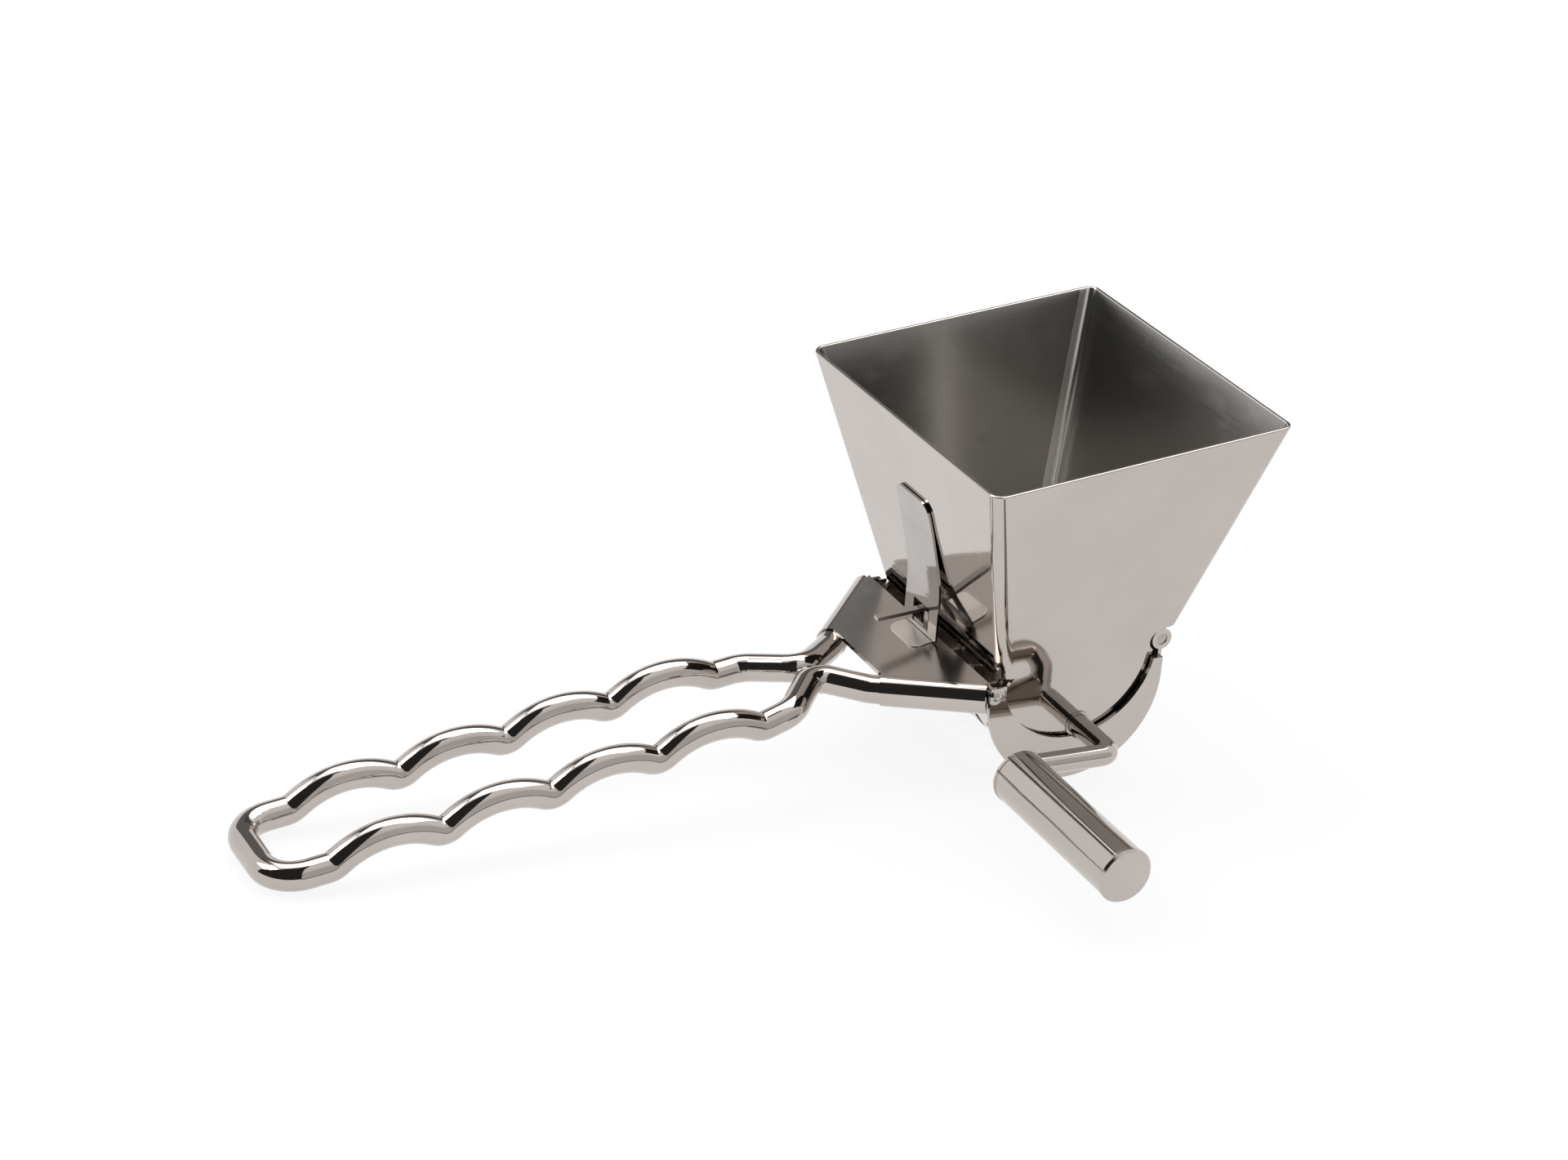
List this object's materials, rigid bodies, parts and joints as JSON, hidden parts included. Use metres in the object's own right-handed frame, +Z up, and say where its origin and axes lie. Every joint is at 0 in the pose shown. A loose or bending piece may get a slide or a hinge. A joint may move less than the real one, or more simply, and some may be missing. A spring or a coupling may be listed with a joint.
{
  "type": "herb mill",
  "caption": "Hand-cranked herb mill of polished steel: flared hopper over a toothed drum in a slotted pan, on a wavy wire loop handle with a pinched neck",
  "frame": {"origin": "on the table under the round pan, midway between its ends", "axes": "+X from the handle to the hopper's rear, -Y to the crank, +Z up from the table"},
  "size_m": [0.2073, 0.1207, 0.0793],
  "materials": {
    "sheet_steel": "polished",
    "rivet_steel": "polished",
    "wire_steel": "polished",
    "latch_steel": "polished",
    "hopper_steel": "polished",
    "pin_steel": "polished",
    "bush_steel": "polished",
    "crank_steel": "polished",
    "drum_steel": "polished",
    "cutter_steel": "polished",
    "grip_steel": "polished",
    "grip_cap_steel": "polished"
  },
  "bodies": {
    "base": {"pan": "sheet_steel", "cheek_near": "sheet_steel", "cheek_far": "sheet_steel", "cheek_rivets": "rivet_steel", "bracket": "sheet_steel", "handle_wire": "wire_steel", "latch_hook": "latch_steel", "hinge_pin": "pin_steel"},
    "hopper": {"hopper_wrap": "hopper_steel", "rear_wall": "hopper_steel", "bush_near": "bush_steel", "bush_far": "bush_steel"},
    "crank": {"crank_rod": "crank_steel", "drum_core": "drum_steel", "drum_disc_near": "drum_steel", "drum_disc_far": "drum_steel", "cutters": "cutter_steel", "shaft_clip": "pin_steel", "grip_clip": "pin_steel"},
    "grip": {"grip_tube": "grip_steel", "grip_collar": "grip_cap_steel", "grip_cap": "grip_cap_steel"},
    "latch": {"latch_leaf": "latch_steel"}
  },
  "joints": [
    {"name": "hopper_open", "type": "hinge", "parent": "base", "child": "hopper", "pos_m": [0.0204, 0, 0.028], "axis": [0, 1, 0], "range_deg": [0, 90]},
    {"name": "crank_turn", "type": "hinge", "parent": "hopper", "child": "crank", "pos_m": [0.0022, 0, 0.0114], "axis": [0, -1, 0], "continuous": true},
    {"name": "grip_spin", "type": "hinge", "parent": "crank", "child": "grip", "pos_m": [-0.022, -0.06, 0.0129], "axis": [0, -1, 0], "continuous": true},
    {"name": "latch_flex", "type": "hinge", "parent": "base", "child": "latch", "pos_m": [-0.0223, 0, 0.0255], "axis": [0, -1, 0], "range_deg": [0, 8], "stiffness_Nm_per_rad": 1, "springref_deg": -1.15}
  ]
}
